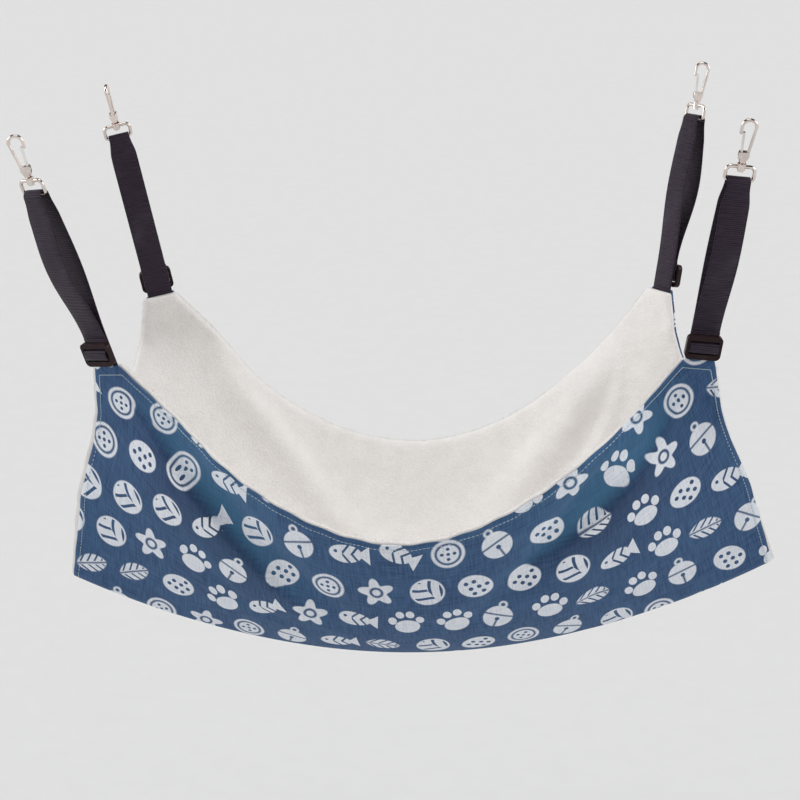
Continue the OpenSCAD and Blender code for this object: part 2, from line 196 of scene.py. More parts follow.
def hung(x, y):
    """The hanging cloth before its corners are laid flat."""
    front = y < 0
    b = np.abs(y) / HALF_L
    reach, rise = end_section(y)
    share = rise / END_DROP
    half_row = HALF_W * (1 - np.where(front, *TAKE_UP_SHARES) * share)
    dip = np.sqrt(mix(BELLY_DIP**2, np.where(front, FRONT_DIP, BACK_DIP) ** 2, share))
    chain = (half_row**2 - dip**2) / (2 * dip)
    t = x / HALF_W
    bend = mix(chain / half_row, np.where(front, *ROUND_SHARES), b * b)
    hang = dip * (1 - (np.sqrt(t * t + bend**2) - bend) / (np.sqrt(1 + bend**2) - bend))
    splay = np.where(front, FRONT_SPLAY, BACK_SPLAY) * b
    out = WALL_SWELL * np.sin(math.pi * b) * (1 - t * t) - fold_depth(x, y)
    way = np.where(front, -1, 1)
    across = chain * np.arcsinh(t * half_row / chain) + BELLY_SHIFT * (1 - share)
    depth = reach + way * (np.sin(splay) * hang + math.cos(WALL_TILT) * out)
    height = rise - END_DROP - np.cos(splay) * hang - math.sin(WALL_TILT) * out
    return np.stack([across, depth, height + BELLY_DROP * t * (1 - share)], -1)


MID_CUT = CUT_LEG / 2
first = np.array([MID_CUT - HALF_W]), np.array([MID_CUT - HALF_L])
HANG_CENTRE = hung(*first)[0] - straps["front_left"].origin
print("centre of the hang", HANG_CENTRE.round(4))

# %% [markdown]
# ## Corners laid flat
# Each corner is sewn to its strap and lies flat in the strap's plane, gathered to the strap's width.
# Bending the finished mesh there would crease it, so the flat patch is mixed into the formula.
# Normals come from small steps on the formula, and thickness is added along them.

# %% Corners
GATHER_SHARE = 0.74
FAN_SHARES, DRIFT_SHARES = (0.57, 0.44, 0.44, 0.58), (0.18, 0.115, 0.14, 0.18)
SOLID_COLUMNS, SOLID_ROWS = 24, 20
SOLID_STEP = max((SHEET_W - 2 * CUT_LEG) / SOLID_COLUMNS, (SHEET_L - 2 * CUT_LEG) / SOLID_ROWS)
FADE_SHARE = 2.8
PATCH_FLAT, PATCH_FADE = (CUT_LEG + SOLID_STEP) / math.sqrt(2), FADE_SHARE * CUT_LEG


def cloth_point(x, y):
    """The middle surface of the two fabrics, at a place of the cut cloth."""
    place = hung(x, y) - HANG_CENTRE
    d = from_cut(x, y)
    t = (HALF_W - np.abs(x) - HALF_L + np.abs(y)) / math.sqrt(2)
    hold = 1 - smooth((d - PATCH_FLAT) / PATCH_FADE)
    half_cut = CORNER_CUT / 2
    for (corner, strap), fan, drift in zip(straps.items(), FAN_SHARES, DRIFT_SHARES):
        side, end = SIDES[corner]
        here = ((x >= 0) == (side > 0)) & ((y >= 0) == (end > 0))
        along = t * (half_cut * GATHER_SHARE + d * fan) / (half_cut + d) + d * drift
        flat = strap.at(side * end * along, 0 * d, -d)
        weight = np.where(here, hold, 0)[..., None]
        place = place * (1 - weight) + flat * weight
    return place


def cloth_normal(x, y, step=2 * MM):
    """Unit normal of the middle surface, towards the inside of the trough."""
    du = cloth_point(x + step, y) - cloth_point(x - step, y)
    dv = cloth_point(x, y + step) - cloth_point(x, y - step)
    n = np.cross(du, dv)
    return n / np.linalg.norm(n, axis=-1, keepdims=True)


low_point = cloth_point(np.array([0.0]), np.array([0.0]))[0]

# %% [markdown]
# ## Crumples
# Real cloth is never as clean as a formula: it puckers along its seams and carries slack creases.
# Noise on the vertices would look like dirt, so waves and sharp folds are laid where the pull goes.
# Both fabrics share them, so that they stay on each other.

# %% Crumples
PUCKER_DEPTH, PUCKER_PITCH, PUCKER_REACH = 0.5 * MM, 31 * MM, 26 * MM
PUCKER_DRIFT, DRIFT_PITCH = 2, 3 * PUCKER_PITCH
CREASE_BOW_SHARE, RIDGE_SHARE = 0.12, 0.5
FOLD_STEP, UNDERCUT_SHARE = 7 * MM, 0.35
CREASES = (
    # start and end on the cut cloth, depth, half width, all in millimetres
    ((-225, -190), (-60, -95), 2.2, 13),
    ((228, -232), (98, -205), 4.2, 10),
    ((222, -190), (135, -20), 2.6, 14),
    ((-215, 250), (-60, 150), 3.4, 11),
    ((238, 238), (95, 160), 3.6, 12),
    ((190, 180), (30, 110), 1.8, 15),
    ((-150, 190), (20, 90), 1.8, 16),
    ((-40, -170), (70, -150), 1.6, 15),
)
SHARP_FOLDS = (
    # start and end on the cut cloth, height and reach of the raised side in millimetres, share of bow
    ((-285, -240), (-85, -140), 8, 45, -0.12),
    ((70, -185), (290, -240), 7, 40, 0.0),
)


def beside(x, y, start, end, bow):
    """Window along a line on the cut cloth, and distance to its far side."""
    start, way = np.array(start) * MM, (np.array(end) - start) * MM
    length = math.hypot(*way)
    t = np.clip(((x - start[0]) * way[0] + (y - start[1]) * way[1]) / length**2, 0, 1)
    window = np.sin(math.pi * t)
    return window, ((y - start[1]) * way[0] - (x - start[0]) * way[1]) / length - bow * length * window


def sharp_folds(x, y):
    """Each sharp fold's height, its window, its raised side and its fall to both sides."""
    for start, end, height, reach, bow in SHARP_FOLDS:
        window, off = beside(x, y, start, end, bow)
        yield height * MM, window, smooth(off / FOLD_STEP + 0.5), np.exp(-np.abs(off) / (reach * MM))


def crumple(x, y):
    """Small movement of the cloth outwards, in metres."""
    rim = np.minimum(HALF_W - np.abs(x), HALF_L - np.abs(y))
    along = np.where(HALF_L - np.abs(y) < HALF_W - np.abs(x), x, y)
    wave = np.sin(2 * math.pi * along / PUCKER_PITCH + PUCKER_DRIFT * np.sin(along / DRIFT_PITCH))
    move = PUCKER_DEPTH * wave * np.exp(-rim / PUCKER_REACH) * smooth(from_cut(x, y) / (2 * CUT_LEG))
    for start, end, depth, half in CREASES:
        window, off = beside(x, y, start, end, CREASE_BOW_SHARE)
        ridge = RIDGE_SHARE * np.exp(-((off / (2 * half * MM)) ** 2))
        move = move - depth * MM * window * (np.exp(-((off / (half * MM)) ** 2)) - ridge)
    for height, window, raised, fall in sharp_folds(x, y):
        move = move + height * window * fall * mix(-UNDERCUT_SHARE * fall, 1, raised)
    return move


def fold_painted_light_and_shade(x, y):
    """Shares of painted light and of painted shade, above and below each sharp fold."""
    tone = np.zeros((len(x), 2))
    for _, window, raised, fall in sharp_folds(x, y):
        tone += np.stack([window * fall * (1 - raised), window * fall * raised], -1)
    return tone


print("creases", len(CREASES), "sharp folds", len(SHARP_FOLDS))

# %% [markdown]
# ## A grid for cut cloth
# Each fabric is a grid of points on the cut cloth, with the four corners cut off square to the diagonal.
# Subdividing a coarse solid would round the corners away, so the grid is made fine and cut exactly.

# %% Cut grid
def cut_grid(columns, rows, over_x=0.0, over_y=0.0):
    """Flat points of a cut cloth, its cells and the edges round it."""
    xs = np.linspace(-HALF_W - over_x, HALF_W + over_x, columns)
    ys = np.linspace(-HALF_L - over_y, HALF_L + over_y, rows)
    x, y = (v.ravel() for v in np.meshgrid(xs, ys))
    beyond = np.maximum(-from_cut(x, y) / math.sqrt(2), 0)
    outside = beyond > 0
    x = x - np.sign(x) * beyond
    y = y - np.sign(y) * beyond
    cells = []
    for j in range(rows - 1):
        for i in range(columns - 1):
            a = j * columns + i
            cell = (a, a + 1, a + 1 + columns, a + columns)
            if not all(outside[v] for v in cell):
                cells.append(cell)
    seen = {}
    for cell in cells:
        for a, b in zip(cell, cell[1:] + cell[:1]):
            seen[(a, b)] = seen.get((b, a), 0)
            if (b, a) in seen:
                seen[(b, a)] = seen[(a, b)] = 1
    rim = [edge for edge, shared in seen.items() if not shared]
    return x, y, cells, rim


CLOTH_COLUMNS, CLOTH_ROWS = 187, 161
outer_grid = cut_grid(CLOTH_COLUMNS, CLOTH_ROWS)
print("cells of the outer fabric", len(outer_grid[2]))

# %% [markdown]
# ## From grid to fabric
# A fabric has two faces and an edge all round, so that it has a thickness from every side.
# A solidify modifier could add it, but the room between the fabrics changes, so both faces are placed.
# The flat place of each point is kept as its UV in metres, so that print and weave follow the cloth.

# %% Fabric helpers
WELD = 0.01 * MM


def new_object(name, points, faces, places=None, material=None):
    """A mesh object of these points and faces, smooth, with named flat places for each point."""
    mesh = bpy.data.meshes.new(name)
    mesh.from_pydata([tuple(p) for p in points], [], faces)
    loops = np.zeros(len(mesh.loops), dtype=np.int32)
    mesh.loops.foreach_get("vertex_index", loops)
    for key, place in (places or {}).items():
        layer = mesh.uv_layers.new(name=key)
        layer.data.foreach_set("uv", np.asarray(place, np.float32)[loops].ravel())
    mesh.polygons.foreach_set("use_smooth", [True] * len(mesh.polygons))
    if material is not None:
        mesh.materials.append(material)
    mesh.validate()
    obj = bpy.data.objects.new(name, mesh)
    bpy.context.scene.collection.objects.link(obj)
    return obj


def tidy_mesh(obj):
    """Drops points that no face uses and points that fall together."""
    work = bmesh.new()
    work.from_mesh(obj.data)
    loose = [v for v in work.verts if not v.link_faces]
    bmesh.ops.delete(work, geom=loose, context="VERTS")
    bmesh.ops.remove_doubles(work, verts=work.verts, dist=WELD)
    bmesh.ops.recalc_face_normals(work, faces=work.faces)
    work.to_mesh(obj.data)
    work.free()


def cloth_layer(name, grid, low, high, material, more_places=None):
    """A closed fabric between two heights above the middle surface."""
    x, y, cells, rim = grid
    middle = cloth_point(x, y)
    normal = cloth_normal(x, y)
    move = -crumple(x, y)
    count = len(x)
    points = np.concatenate([middle + normal * (move + side)[:, None] for side in (low, high)])
    faces = [tuple(reversed(cell)) for cell in cells]
    faces += [tuple(v + count for v in cell) for cell in cells]
    faces += [(a, b, b + count, a + count) for a, b in rim]
    places = {"flat": np.stack([x, y], -1), **(more_places or {})}
    places = {key: np.concatenate([place, place]) for key, place in places.items()}
    obj = new_object(name, points, faces, places, material)
    tidy_mesh(obj)
    return obj


print("points closer than", WELD, "m are joined")

# %% [markdown]
# ## Shader maths as expressions
# Node trees are hard to read when each Math node is placed by hand.
# A small class wraps a socket, so that an expression such as 1 - mask adds its own nodes.

# %% Sockets
class Socket:
    """A node socket that can be used in a sum."""

    def __init__(self, tree, socket):
        self.tree, self.socket = tree, socket

    def math(self, operation, *others):
        return self.tree.node("ShaderNodeMath", {"operation": operation}, (self, *others))

    def __add__(self, other):
        return self.math("ADD", other)

    __radd__ = __add__

    def __sub__(self, other):
        return self.math("SUBTRACT", other)

    def __rsub__(self, other):
        return self.tree.node("ShaderNodeMath", {"operation": "SUBTRACT"}, (other, self))

    def __mul__(self, other):
        return self.math("MULTIPLY", other)

    __rmul__ = __mul__

    def __truediv__(self, other):
        return self.math("DIVIDE", other)

    def __lt__(self, other):
        return self.math("LESS_THAN", other)

    def __gt__(self, other):
        return self.math("GREATER_THAN", other)

    def __abs__(self):
        return self.math("ABSOLUTE")


print("sockets add, subtract, multiply, divide and compare")

# %% [markdown]
# ## Finishes
# A finish is a material, or the studio's world, with the shader that its nodes feed.
# Node groups could be kept in a library, but a few short methods keep everything in this file.
# One method adds any node: its type, its settings and its sockets. The others are built on it.

# %% Finishes
class Finish:
    """The nodes of a material or of the world, and the shader that they feed."""

    def __init__(self, owner, shader="Principled BSDF"):
        self.owner = owner
        owner.use_nodes = True
        self.nodes, self.links = owner.node_tree.nodes, owner.node_tree.links
        self.shader = self.nodes[shader]

    def feed(self, socket, value):
        if isinstance(value, Socket):
            self.links.new(value.socket, socket)
        elif socket.type == "RGBA" and len(value) == 3:
            socket.default_value = (*value, 1)
        else:
            socket.default_value = value

    def node(self, kind, settings=None, sockets=(), output=0):
        """One node: its settings first, then its sockets by place or by name."""
        made = self.nodes.new(kind)
        for key, value in (settings or {}).items():
            setattr(made, key, value)
        pairs = sockets.items() if isinstance(sockets, dict) else enumerate(sockets)
        for key, value in pairs:
            self.feed(made.inputs[key], value)
        return Socket(self, made.outputs[output])

    def flat(self, layer="flat"):
        """The two flat coordinates of a layer of places, in metres."""
        uv = self.node("ShaderNodeUVMap", {"uv_map": layer})
        return uv, *(self.node("ShaderNodeSeparateXYZ", None, (uv,), axis) for axis in (0, 1))

    def place(self):
        return self.node("ShaderNodeTexCoord", None, (), "Object")

    def noise(self, where, scale, detail=2.0, rough=0.5):
        sockets = {"Vector": where, "Scale": scale, "Detail": detail, "Roughness": rough}
        return self.node("ShaderNodeTexNoise", None, sockets)

    def blend(self, factor, a, b):
        """Colour a where the factor is 0, colour b where it is 1."""
        settings = {"data_type": "RGBA", "clamp_factor": True}
        return self.node("ShaderNodeMix", settings, {"Factor": factor, 6: a, 7: b}, 2)

    def band(self, value, low, high):
        """0 below low, 1 above high, soft between."""
        settings = {"interpolation_type": "SMOOTHSTEP"}
        return self.node("ShaderNodeMapRange", settings, (value, low, high))

    def bump(self, height, distance, strength=1.0):
        sockets = {"Height": height, "Distance": distance, "Strength": strength}
        return self.node("ShaderNodeBump", None, sockets)

    def set(self, **values):
        """Values of the surface shader, spaces in socket names written as underscores."""
        for key, value in values.items():
            self.feed(self.shader.inputs[key.replace("_", " ")], value)
        return self.owner


def new_finish(name):
    return Finish(bpy.data.materials.new(name))


print("materials so far", len(bpy.data.materials))

# %% [markdown]
# ## The print
# The outer fabric has pale motifs about 28 mm across, scattered in staggered rows.
# An image would be the quick way, but a pattern of sums stays sharp and needs no file.
# Each cell of a staggered grid draws lots for one of eight plain motifs and for its turn.

# %% Print grid
PRINT_PITCH_X, PRINT_PITCH_Y = 39 * MM, 37.5 * MM
PRINT_SIZE = 16.5 * MM
PRINT_TURN = 1.1
PRINT_SHIFT_SHARE = 0.25
INK_EDGE = 0.05
LINE_SHARES = (0.5, 0.72)


class Print:
    """The place inside one cell of the print, and the shapes that motifs are made of."""

    def __init__(self, f, u, v):
        self.f = f
        row = (v / PRINT_PITCH_Y).math("FLOOR")
        across = u / PRINT_PITCH_X + row.math("FLOORED_MODULO", 2.0) * 0.5
        column = across.math("FLOOR")
        cell = {"Vector": f.node("ShaderNodeCombineXYZ", None, (column, row, 0.0))}
        self.lot, lots = (f.node("ShaderNodeTexWhiteNoise", None, cell, out) for out in ("Value", "Color"))
        shift = [f.node("ShaderNodeSeparateColor", None, (lots,), i) - 0.5 for i in range(3)]
        x = (across - column - 0.5) * (PRINT_PITCH_X / PRINT_SIZE) + shift[0] * PRINT_SHIFT_SHARE
        y = (v / PRINT_PITCH_Y - row - 0.5) * (PRINT_PITCH_Y / PRINT_SIZE) + shift[1] * PRINT_SHIFT_SHARE
        turn = shift[2] * PRINT_TURN
        c, s = turn.math("COSINE"), turn.math("SINE")
        self.x, self.y = x * c - y * s, x * s + y * c
        self.radius = (x * x + y * y).math("SQRT")
        self.angle = self.y.math("ARCTAN2", self.x)

    def inside(self, distance):
        """1 where the distance is below 0, with a soft inked edge."""
        return 1 - self.f.band(distance, -INK_EDGE, INK_EDGE)

    def spot(self, at_x, at_y, wide, high):
        dx, dy = (self.x - at_x) / wide, (self.y - at_y) / high
        return self.inside((dx * dx + dy * dy).math("SQRT") - 1.0)

    def spots(self, places, wide, high):
        made = None
        for at_x, at_y in places:
            one = self.spot(at_x, at_y, wide, high)
            made = one if made is None else made.math("MAXIMUM", one)
        return made

    def ring(self, middle, half):
        return self.inside(abs(self.radius - middle) - half)

    def lines(self, along, turns):
        """Thin lines square to a way, so many radians to a unit."""
        return self.f.band((along * turns).math("SINE"), *LINE_SHARES)


print("print cells", PRINT_PITCH_X, "by", PRINT_PITCH_Y)

# %% [markdown]
# ## The eight motifs
# Paw, fish, flower, yarn ball, ringed ball, leaf, spotted pebble and bell are common pet-shop shapes.
# They are drawn in a cell of about two units, white on the cloth, with their details left blue.
# Each is a sum of ovals, rings and lines, which is enough at this size.

# %% Motifs
TOE_SHARES = ((-0.68, 0.1), (-0.25, 0.56), (0.25, 0.56), (0.68, 0.1))
DOT_SHARES = ((0.0, 0.0), (-0.3, 0.0), (0.3, 0.0), (0.0, 0.3), (0.0, -0.3))
FLECK_SHARES = (
    *((-0.5, 0.05), (-0.17, 0.27), (-0.17, -0.2), (0.17, 0.04)),
    *((0.5, 0.26), (0.48, -0.2), (0.1, -0.46)),
)


def paw(p):
    return p.spot(0.0, -0.38, 0.62, 0.48).math("MAXIMUM", p.spots(TOE_SHARES, 0.21, 0.28))


def fish(p):
    tail = (abs(p.y) < (p.x - 0.38) * 0.9) * (p.x < 0.98)
    scales = p.lines(p.x - abs(p.y) * 0.7, 13.0) * (abs(p.x - 0.06) < 0.4)
    body = p.spot(-0.18, 0.0, 0.8, 0.52) * (1 - scales) * (1 - p.spot(-0.66, 0.1, 0.09, 0.09))
    return body.math("MAXIMUM", tail)


def flower(p):
    petals = 0.7 + (p.angle * 5.0).math("COSINE") * 0.2
    return p.inside(p.radius - petals) * (1 - p.ring(0.27, 0.07))


def yarn(p):
    split = (p.x + p.y) > 0.1
    strands = p.lines(p.x + (p.y * 2.2).math("SINE") * 0.18, 11.0)
    counter = p.lines(p.y - (p.x * 2.2).math("SINE") * 0.18, 11.0)
    wool = (strands * split + counter * (1 - split)) * (p.radius < 0.74)
    return p.spot(0.0, 0.0, 0.84, 0.84) * (1 - wool)


def ringed_ball(p):
    return p.inside(p.radius - 0.8) * (1 - p.ring(0.58, 0.06)) * (1 - p.spots(DOT_SHARES, 0.09, 0.09))


def leaf(p):
    lens = p.spot(0.0, 0.5, 1.02, 1.02) * p.spot(0.0, -0.5, 1.02, 1.02)
    veins = p.lines(p.x - abs(p.y) * 0.9, 15.0) * (abs(p.y) > 0.1) * (abs(p.x) < 0.7)
    return lens * (1 - veins) * (1 - p.inside(abs(p.y) - 0.045))


def pebble(p):
    return p.spot(0.0, 0.0, 0.86, 0.7) * (1 - p.spots(FLECK_SHARES, 0.115, 0.115))


def bell(p):
    band = p.inside(abs(p.y - 0.08) - 0.05)
    slit = p.spot(0.0, -0.2, 0.12, 0.12).math("MAXIMUM", p.inside(abs(p.x) - 0.05) * (p.y < -0.2))
    ball = p.spot(0.0, -0.06, 0.74, 0.74) * (1 - band) * (1 - slit)
    rise = p.y - 0.78
    loop = p.inside(abs((rise * rise + p.x * p.x).math("SQRT") - 0.17) - 0.06)
    return ball.math("MAXIMUM", loop)


MOTIFS = (paw, yarn, fish, pebble, flower, ringed_ball, leaf, bell)
print("motifs", [motif.__name__ for motif in MOTIFS])

# %% [markdown]
# ## The cloth under the print
# Indigo cotton is woven from uneven threads, so its blue is streaked both ways and never flat.
# The streaks could be drawn as threads, but stretched noise gives the same look from this far.
# The white ink sits on top, slightly worn. Beside each sharp fold, paler blue is painted light above it and
# darker blue is painted shade below it.

# %% Printed cotton
WEAVE_PITCH, WEAVE_DEPTH = 0.9 * MM, 0.12 * MM
INK_WEAR, FADE_SCALE = 900.0, 16.0
SLUB_LONG, SLUB_SHORT = 45.0, 800.0
DEEP_BLUE, CLEAR_BLUE, WASHED_BLUE = (0.032, 0.068, 0.158), (0.068, 0.138, 0.268), (0.06, 0.15, 0.28)
# Painted light and painted shade: the paler and darker blues laid beside the sharp folds.
PAINTED_LIGHT_BLUE, PAINTED_SHADE_BLUE = (0.06, 0.18, 0.3), (0.022, 0.036, 0.085)
GREY_INK, WHITE_INK = (0.68, 0.72, 0.8), (0.84, 0.87, 0.92)


def printed_cotton():
    f = new_finish("printed_cotton")
    uv, u, v = f.flat()
    p = Print(f, *f.flat("printed")[1:])
    ink = None
    for i, motif in enumerate(MOTIFS):
        chosen = (p.lot > i / len(MOTIFS)) * (p.lot < (i + 1) / len(MOTIFS)) * motif(p)
        ink = chosen if ink is None else ink + chosen
    ink = ink * f.band(f.noise(uv, INK_WEAR, 3.0, 0.6), 0.26, 0.4)
    warp = (u * (2 * math.pi / WEAVE_PITCH)).math("SINE")
    weft = (v * (2 * math.pi / WEAVE_PITCH)).math("SINE")
    slub_u = f.node("ShaderNodeCombineXYZ", None, (u * SLUB_LONG, v * SLUB_SHORT, 0.0))
    slub_v = f.node("ShaderNodeCombineXYZ", None, (u * SLUB_SHORT, v * SLUB_LONG, 7.0))
    slub = (f.noise(slub_u, 1.0, 3.0) + f.noise(slub_v, 1.0, 3.0)) * 0.5
    fade = f.noise(uv, FADE_SCALE, 3.0)
    cloth = f.blend(f.band(slub, 0.36, 0.64), DEEP_BLUE, CLEAR_BLUE)
    cloth = f.blend(f.band(fade, 0.35, 0.75) * 0.3, cloth, WASHED_BLUE)
    # Painted light above each sharp fold and painted shade below it, laid into the blue through the tone
    # layer.
    painted_light_share, painted_shade_share = f.flat("tone")[1:]
    cloth = f.blend(painted_light_share * 0.75, cloth, PAINTED_LIGHT_BLUE)
    cloth = f.blend(painted_shade_share * 0.7, cloth, PAINTED_SHADE_BLUE)
    pale = f.blend(f.band(slub, 0.35, 0.65), GREY_INK, WHITE_INK)
    colour = f.blend(ink, cloth, pale)
    height = (warp * weft) * 0.35 + slub * 1.2 + ink * 0.15
    normal = f.bump(height, WEAVE_DEPTH, 0.5)
    f.set(Sheen_Weight=0.04, Sheen_Roughness=0.5, Specular_IOR_Level=0.15)
    return f.set(Base_Color=colour, Roughness=0.86 - ink * 0.1, Normal=normal)


cotton = printed_cotton()
print("printed cotton nodes", len(cotton.node_tree.nodes))

# %% [markdown]
# ## Plush
# The lining is a warm off-white plush with a short dense pile that lies in soft clumps.
# Strands of hair would be heavy and would not export, so the pile is shading.
# It has sheen, clumps and a fine bump. A fringe of real tufts, built later, gives the soft outline.

# %% Plush
CLUMP_SCALE, PILE_SCALE, PILE_DEPTH = 60.0, 700.0, 1.6 * MM
LIGHT_PILE, DARK_PILE = (0.92, 0.892, 0.868), (0.8, 0.772, 0.75)


def short_plush():
    f = new_finish("plush")
    where = f.place()
    clump = f.noise(where, CLUMP_SCALE, 4.0, 0.6)
    pile = f.noise(where, PILE_SCALE, 3.0, 0.7)
    light = f.band(clump, 0.25, 0.75) * 0.4 + f.band(pile, 0.3, 0.7) * 0.6
    colour = f.blend(light, DARK_PILE, LIGHT_PILE)
    normal = f.bump(clump * 1.5 + pile, PILE_DEPTH, 0.6)
    f.set(Sheen_Weight=0.25, Sheen_Roughness=0.6, Specular_IOR_Level=0.1)
    return f.set(Base_Color=colour, Roughness=0.95, Normal=normal)


plush = short_plush()
print("plush nodes", len(plush.node_tree.nodes))

# %% [markdown]
# ## The outer fabric
# The outer fabric is thin and even, and its corners leave room for the webbing that is sewn in there.
# A print laid by the cut cloth alone would look squashed on the sloping front wall.
# So its places are mixed with those seen from the front.

# %% Outer fabric
OUTER_T, LAYER_GAP = 1.2 * MM, 0.3 * MM
FACING_SHARE, FACING_TILT = 0.7, math.radians(18)


def half_space(x, y):
    """Half the room between the fabrics."""
    pocket = WEB_T / 2 + WEB_FIT
    return mix(pocket, LAYER_GAP / 2, smooth((from_cut(x, y) - PATCH_FLAT) / PATCH_FLAT))


def printed_place(x, y):
    """Place in the print, partly as seen from the front."""
    front = np.minimum(y, 0)
    point = cloth_point(x, front)
    rise = point[:, 1] * math.sin(FACING_TILT) + point[:, 2] * math.cos(FACING_TILT)
    across = mix(x, point[:, 0], FACING_SHARE)
    return np.stack([across, mix(-front, rise, FACING_SHARE) - np.maximum(y, 0)], -1)


space = half_space(*outer_grid[:2])
# The tone layer holds the shares of painted light and painted shade beside the sharp folds.
more_places = {"printed": printed_place(*outer_grid[:2]), "tone": fold_painted_light_and_shade(*outer_grid[:2])}
outer = cloth_layer("printed_cloth", outer_grid, -space - OUTER_T, -space, cotton, more_places)
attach(outer, "panel")
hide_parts("outer_panel")
print("outer fabric points", len(outer.data.vertices))

# %% [markdown]
# ## The lining
# The lining is thick, pressed thin along its seams, and a little larger than the print.
# It rolls out past the print at the open ends: widest half way up the left one, hardly at the right one.
# A bevel would be even all round, so the roll is a share of the flat place instead.

# %% Lining
PLUSH_T = 5 * MM
ROLL_OUT, FRONT_ROLL = 4.5 * MM, 1.2 * MM
LEFT_LOW_SHARE, LEFT_RUN_SHARE = 0.25, 0.85
RIGHT_LOW_SHARE, RIGHT_MID_SHARE, RIGHT_RUN = 0.12, 0.5, 60 * MM
SEAM_SHARE, SEAM_FADE = 0.5, 9 * MM


def rolled(x, y):
    """Flat place across the lining, its full roll at the ends cut back to what each side shows."""
    left = mix(LEFT_LOW_SHARE, 1, np.sin(math.pi * LEFT_RUN_SHARE * np.abs(y) / HALF_L))
    right = RIGHT_LOW_SHARE + RIGHT_MID_SHARE * np.exp(-((y / RIGHT_RUN) ** 2))
    return x * (HALF_W + ROLL_OUT * np.where(x < 0, left, right)) / (HALF_W + ROLL_OUT)


lining_grid = cut_grid(CLOTH_COLUMNS, CLOTH_ROWS, ROLL_OUT, FRONT_ROLL)
lining_x, lining_y = lining_grid[:2]
rim_dist = np.minimum(HALF_W + ROLL_OUT - np.abs(lining_x), HALF_L + FRONT_ROLL - np.abs(lining_y))
lining_x = rolled(lining_x, lining_y)
lining_grid = (lining_x, *lining_grid[1:])
rim_dist = np.minimum(rim_dist, np.maximum(from_cut(lining_x, lining_y), 0))
round_share = np.sqrt(1 - (1 - np.clip(rim_dist / SEAM_FADE, 0, 1)) ** 2)
space = half_space(lining_x, lining_y)
roll = np.maximum(np.abs(lining_x) - HALF_W, 0) / ROLL_OUT
lining_low = space - roll**2 * OUTER_T
lining_high = space + PLUSH_T * mix(SEAM_SHARE, 1, round_share)
lining = cloth_layer("plush_cloth", lining_grid, lining_low, lining_high, plush)
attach(lining, "panel")
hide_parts("plush_lining")
print("lining points", len(lining.data.vertices))

# %% [markdown]
# ## Places along the edges
# Tufts and stitches both follow the edges of the cloth at even steps.
# A curve with an array could carry them, but the formula gives place, normal and ways directly.

# %% Edge helpers
CUT_INSET_SHARE, EDGE_STEP = 0.4, 1 * MM


def edge_line(inset_x, inset_y, pitch):
    """Evenly spaced flat places round the cut cloth, with the outward way on the cloth."""
    w, l = HALF_W - inset_x, HALF_L - inset_y
    cut = CUT_LEG + CUT_INSET_SHARE * (inset_x + inset_y) / 2
    corners = [(-w + cut, -l), (w - cut, -l), (w, -l + cut), (w, l - cut)]
    corners += [(w - cut, l), (-w + cut, l), (-w, l - cut), (-w, -l + cut)]
    places, ways = [], []
    for (ax, ay), (bx, by) in zip(corners, corners[1:] + corners[:1]):
        length = math.hypot(bx - ax, by - ay)
        count = max(int(length / pitch), 1)
        t = (np.arange(count) + 0.5) / count
        places.append(np.stack([ax + (bx - ax) * t, ay + (by - ay) * t], -1))
        ways.append(np.tile([(by - ay) / length, -(bx - ax) / length], (count, 1)))
    return np.concatenate(places), np.concatenate(ways)


def cloth_ways(places, ways):
    """Point, normal, outward way and edge way on the hung cloth, from flat places and outward ways."""
    x, y = places.T
    point = cloth_point(x, y)
    along = cloth_point(x - ways[:, 1] * EDGE_STEP, y + ways[:, 0] * EDGE_STEP) - point
    along /= np.linalg.norm(along, axis=1, keepdims=True)
    normal = cloth_normal(x, y)
    return point - normal * crumple(x, y)[:, None], normal, np.cross(along, normal), along


print("way round the cut cloth", round(4 * (HALF_W + HALF_L - 2 * CUT_LEG) + 4 * CORNER_CUT, 3))

# %% [markdown]
# ## The plush fringe
# Seen against the print, the edge of the lining is fuzzy: tufts of pile stand out of the seam.
# Each tuft is a slim blade of one triangle, leaning outwards with a little chance in length and lean.
# The chance comes from a seeded generator, so every run gives the same fringe.

# %% Fringe
TUFT_PITCH, TUFT_LEN, TUFT_W = 0.55 * MM, 3.2 * MM, 0.8 * MM
TUFT_ROLL_SHARE, TUFT_ROOT_SHARE, CUT_CLEAR = 0.8, 0.3, 2 * MM
# ends of the chance in lean, length, height of the root and sway
CHANCE_SHARES = ((-0.5, 0.9), (0.5, 1.2), (0.1, 0.95), (-0.4, 0.4))
chance = np.random.default_rng(7)

places, ways = edge_line(-ROLL_OUT * TUFT_ROLL_SHARE, -FRONT_ROLL * TUFT_ROLL_SHARE, TUFT_PITCH)
keep = from_cut(*places.T) > CUT_CLEAR
places, ways = places[keep], ways[keep]
places[:, 0] = rolled(*places.T)
point, normal, out, side = cloth_ways(places, ways)
count = len(places)
lean, length, height, sway = (chance.uniform(*ends, (count, 1)) for ends in CHANCE_SHARES)
root_height = half_space(*places.T)[:, None] + PLUSH_T * SEAM_SHARE * height
root = point + normal * root_height - out * TUFT_LEN * TUFT_ROOT_SHARE
tip = root + (out + normal * lean + side * sway) * (TUFT_LEN * length)
half = side * TUFT_W / 2
blades = np.stack([root - half, root + half, tip], 1).reshape(-1, 3)
blade_faces = [(3 * i, 3 * i + 1, 3 * i + 2) for i in range(count)]
fringe = new_object("plush_fringe", blades, blade_faces, None, plush)
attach(fringe, "panel")
print("tufts", count)

# %% [markdown]
# ## Topstitching
# A pale thread runs round the print about 5 mm from its edge and holds both fabrics together.
# A painted line would lie flat, so each stitch is a small bowed thread that dips in at its ends.
# All stitches are one mesh, with five rings of six points each.

